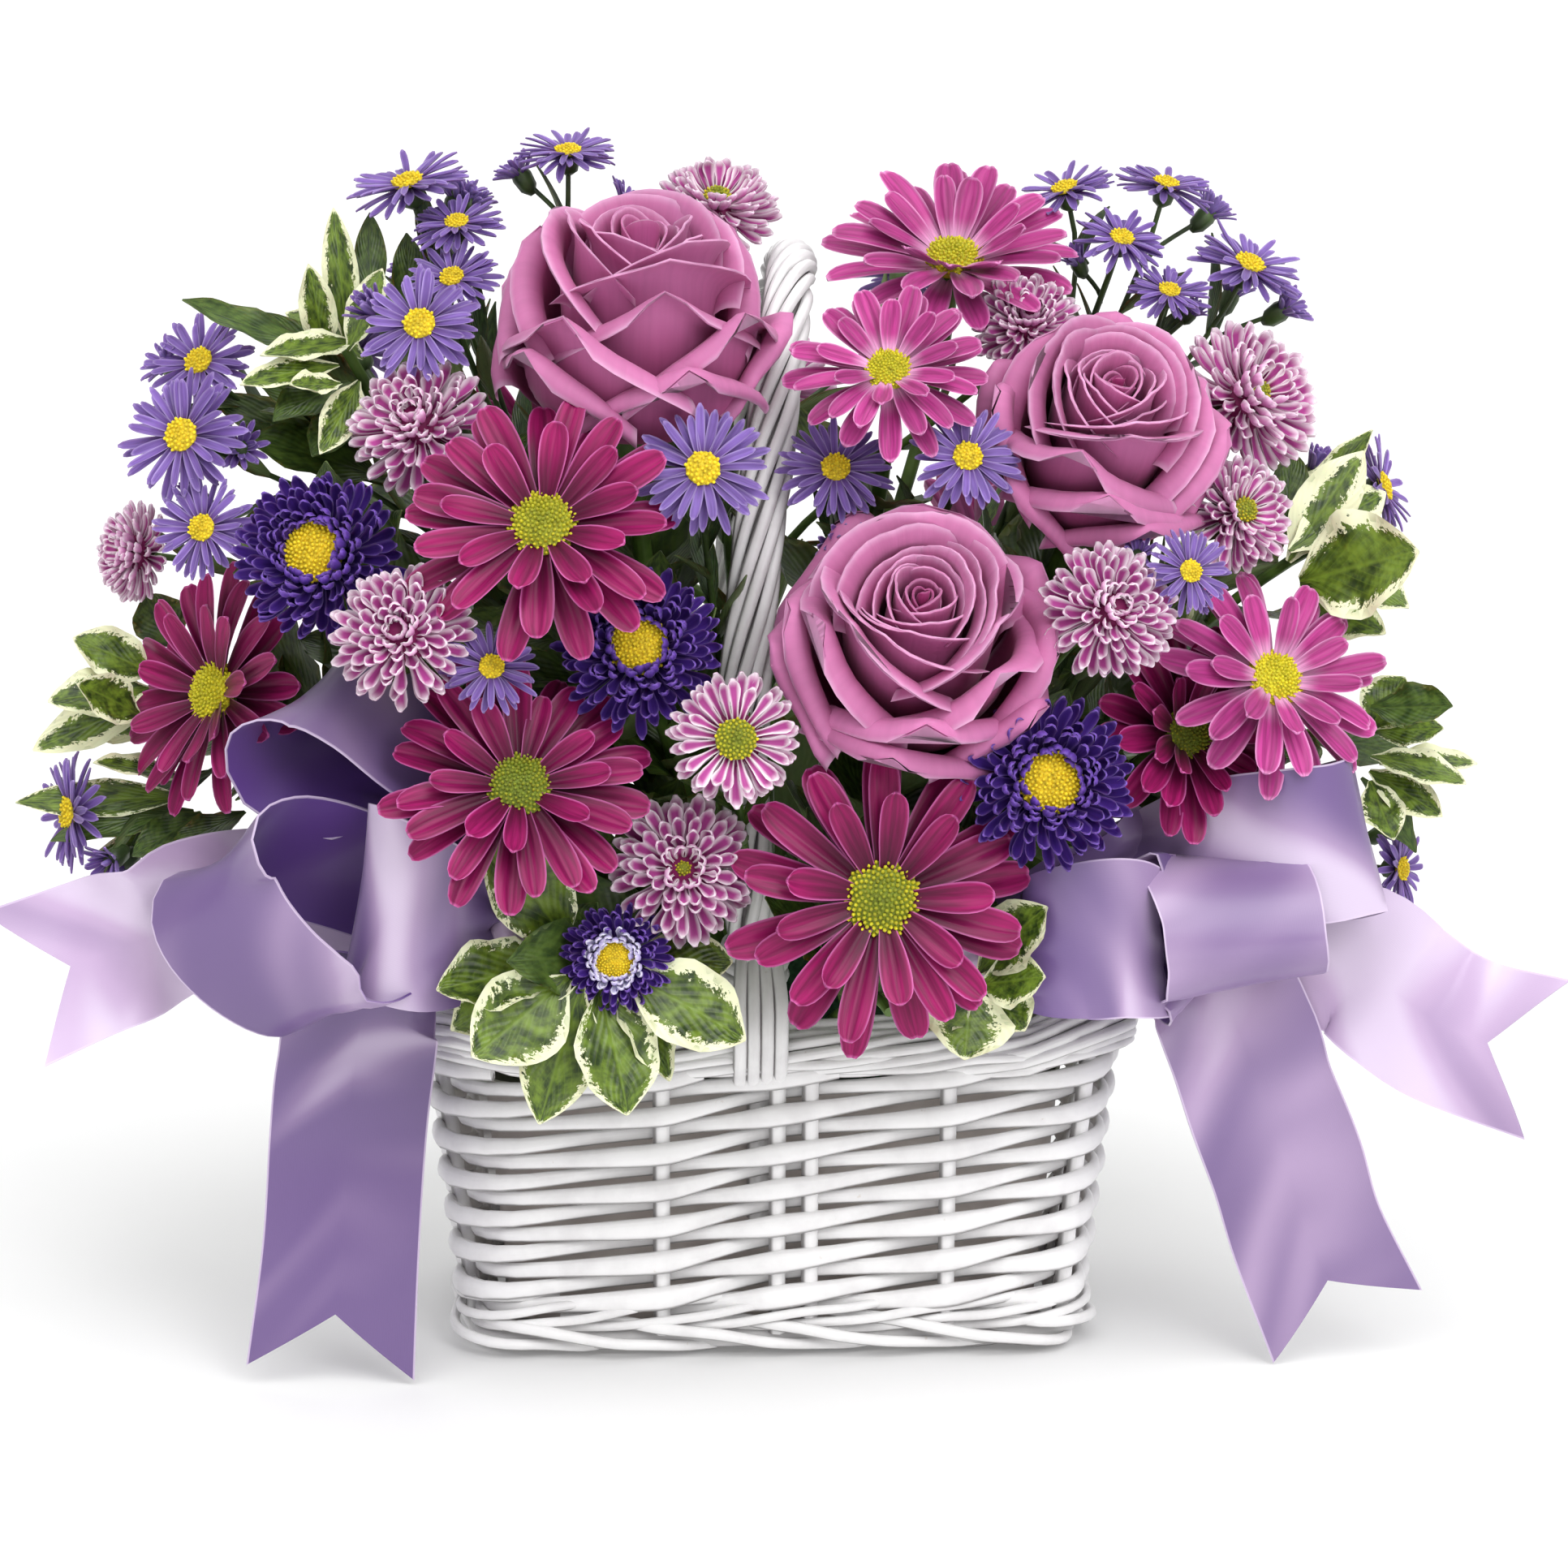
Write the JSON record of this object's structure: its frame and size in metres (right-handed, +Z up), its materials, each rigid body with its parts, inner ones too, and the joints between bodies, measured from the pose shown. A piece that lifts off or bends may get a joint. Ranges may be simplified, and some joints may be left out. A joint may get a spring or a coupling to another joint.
{
  "type": "flower basket arrangement",
  "caption": "White willow basket with an arched handle, filled with roses, daisies, asters and leaves in wet foam, with two satin bows.",
  "frame": {"origin": "centre of the underside of the basket's floor, on the surface it stands on", "axes": "+Z up; +X to the right seen from the front, along the basket's long side; -Y towards the front, where the bows are"},
  "size_m": [0.376, 0.2227, 0.2982],
  "materials": {
    "white_willow": "white painted willow, satin",
    "liner_film": "thin waterproof film",
    "wet_foam": "crumbly floral foam",
    "satin_ribbon": "lavender satin with pale edges",
    "rose_petals": "velvety mauve-pink petal",
    "green_stalk": "fresh green stem",
    "daisy_stalk_and_disc": "green stem and lime disc",
    "magenta_rays": "soft magenta petal",
    "aster_stalk_and_disc": "green stem and golden disc",
    "violet_rays": "soft deep violet petal",
    "cushion_petals": "pink petal with pale tips",
    "lilac_rays": "soft lilac petal",
    "variegated_leaf": "glossy green leaf with a cream edge"
  },
  "bodies": {
    "root": {"basket_floor": "white_willow", "basket_foot": "white_willow", "basket_handle": "white_willow", "basket_rim": "white_willow", "basket_weave": "white_willow", "bow_left": "satin_ribbon", "bow_right": "satin_ribbon", "china_aster_1_rays": "violet_rays", "china_aster_1_stem": "aster_stalk_and_disc", "china_aster_2_rays": "violet_rays", "china_aster_2_stem": "aster_stalk_and_disc", "china_aster_3_rays": "violet_rays", "china_aster_3_stem": "aster_stalk_and_disc", "china_aster_4_rays": "violet_rays", "china_aster_4_stem": "aster_stalk_and_disc", "cushion_spray_back": "cushion_petals", "cushion_spray_front": "cushion_petals", "cushion_spray_left": "cushion_petals", "cushion_spray_right": "cushion_petals", "cushion_spray_top": "cushion_petals", "daisy_10_rays": "magenta_rays", "daisy_1_rays": "magenta_rays", "daisy_2_rays": "magenta_rays", "daisy_3_rays": "magenta_rays", "daisy_4_rays": "magenta_rays", "daisy_5_rays": "magenta_rays", "daisy_6_rays": "magenta_rays", "daisy_7_rays": "magenta_rays", "daisy_8_rays": "magenta_rays", "daisy_9_rays": "magenta_rays", "daisy_stem_back": "daisy_stalk_and_disc", "daisy_stem_far_left": "daisy_stalk_and_disc", "daisy_stem_front": "daisy_stalk_and_disc", "daisy_stem_left": "daisy_stalk_and_disc", "daisy_stem_right": "daisy_stalk_and_disc", "daisy_stem_top": "daisy_stalk_and_disc", "foam": "wet_foam", "leaves_back_left": "variegated_leaf", "leaves_back_low": "variegated_leaf", "leaves_back_right": "variegated_leaf", "leaves_front_left": "variegated_leaf", "leaves_front_right": "variegated_leaf", "leaves_left_low": "variegated_leaf", "leaves_left_top": "variegated_leaf", "leaves_right": "variegated_leaf", "leaves_right_low": "variegated_leaf", "lilac_spray_back": "lilac_rays", "lilac_spray_left": "lilac_rays", "lilac_spray_middle_left": "lilac_rays", "lilac_spray_middle_right": "lilac_rays", "lilac_spray_right": "lilac_rays", "lilac_spray_top_left": "lilac_rays", "lilac_spray_top_right": "lilac_rays", "liner": "liner_film", "rose_1_petals": "rose_petals", "rose_1_stem": "green_stalk", "rose_2_petals": "rose_petals", "rose_2_stem": "green_stalk", "rose_3_petals": "rose_petals", "rose_3_stem": "green_stalk"}
  },
  "joints": []
}
